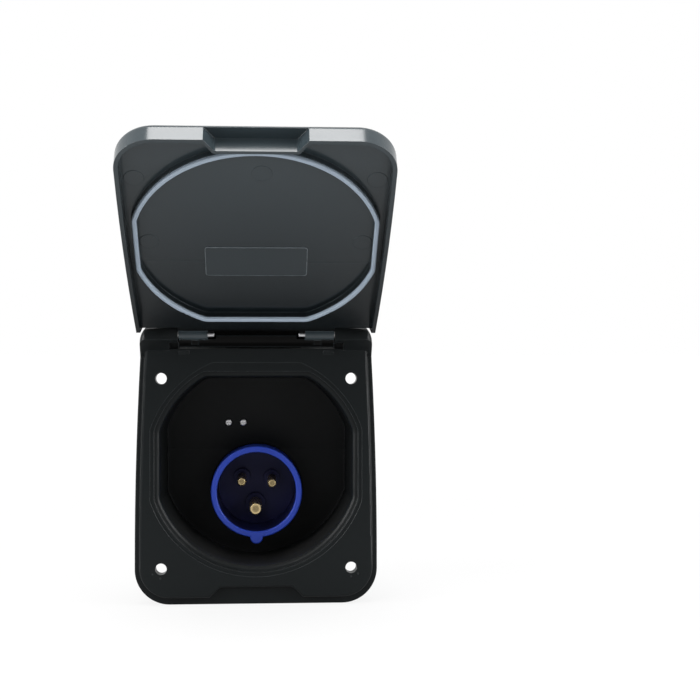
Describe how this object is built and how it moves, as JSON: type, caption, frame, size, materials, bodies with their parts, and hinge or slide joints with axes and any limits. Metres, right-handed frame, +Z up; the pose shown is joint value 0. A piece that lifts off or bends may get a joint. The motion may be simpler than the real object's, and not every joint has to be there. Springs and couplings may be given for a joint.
{
  "type": "flush-mounted power inlet",
  "caption": "Flush mains power inlet for a caravan wall: hinged sealed lid, deep recess, round pin inlet with key, rear wiring cover and cord gland.",
  "frame": {"origin": "middle of the four panel screws, on the back of the flange", "axes": "+X right, +Y into the wall, +Z up; the lid faces -Y when closed"},
  "size_m": [0.128, 0.2146, 0.2339],
  "materials": {
    "black_plastic": "fine-grained moulded black",
    "foam": "closed-cell foam",
    "lid_plastic": "fine-grained moulded dark grey",
    "grey_panel": "satin grey paint",
    "badge_plastic": "satin",
    "symbol_paint": "printed",
    "trim_plastic": "satin",
    "seal_rubber": "matt",
    "label_plastic": "satin, bare",
    "steel": "plain",
    "blue_plastic": "semi-gloss blue",
    "gasket_rubber": "matt",
    "navy_plastic": "satin navy",
    "brass": "turned",
    "gland_plastic": "moulded nylon"
  },
  "bodies": {
    "body": {"housing": "black_plastic", "panel_gasket": "foam", "hinge_pin_left": "steel", "hinge_pin_right": "steel", "inlet_collar": "blue_plastic", "inlet_gasket": "gasket_rubber", "pin_carrier": "navy_plastic", "line_pin": "brass", "neutral_pin": "brass", "earth_pin": "brass", "terminal_screws": "steel", "inlet_screws": "steel", "rear_cover": "black_plastic", "rear_cover_seal": "gasket_rubber", "rear_cover_screws": "steel", "gland_body": "gland_plastic", "gland_seal": "gasket_rubber", "gland_nut": "gland_plastic", "gland_locknut": "gland_plastic", "cord_saddle": "gland_plastic", "saddle_screws": "steel"},
    "lid": {"lid_frame": "lid_plastic", "lid_panel": "grey_panel", "badge": "badge_plastic", "bolt_symbol": "symbol_paint", "corner_trim": "trim_plastic", "lid_seal": "seal_rubber", "label_plate": "label_plastic"}
  },
  "joints": [
    {"name": "lid_hinge", "type": "hinge", "parent": "body", "child": "lid", "pos_m": [0, -0.01325, 0.07315], "axis": [1, 0, 0], "range_deg": [0, 129.6]}
  ]
}
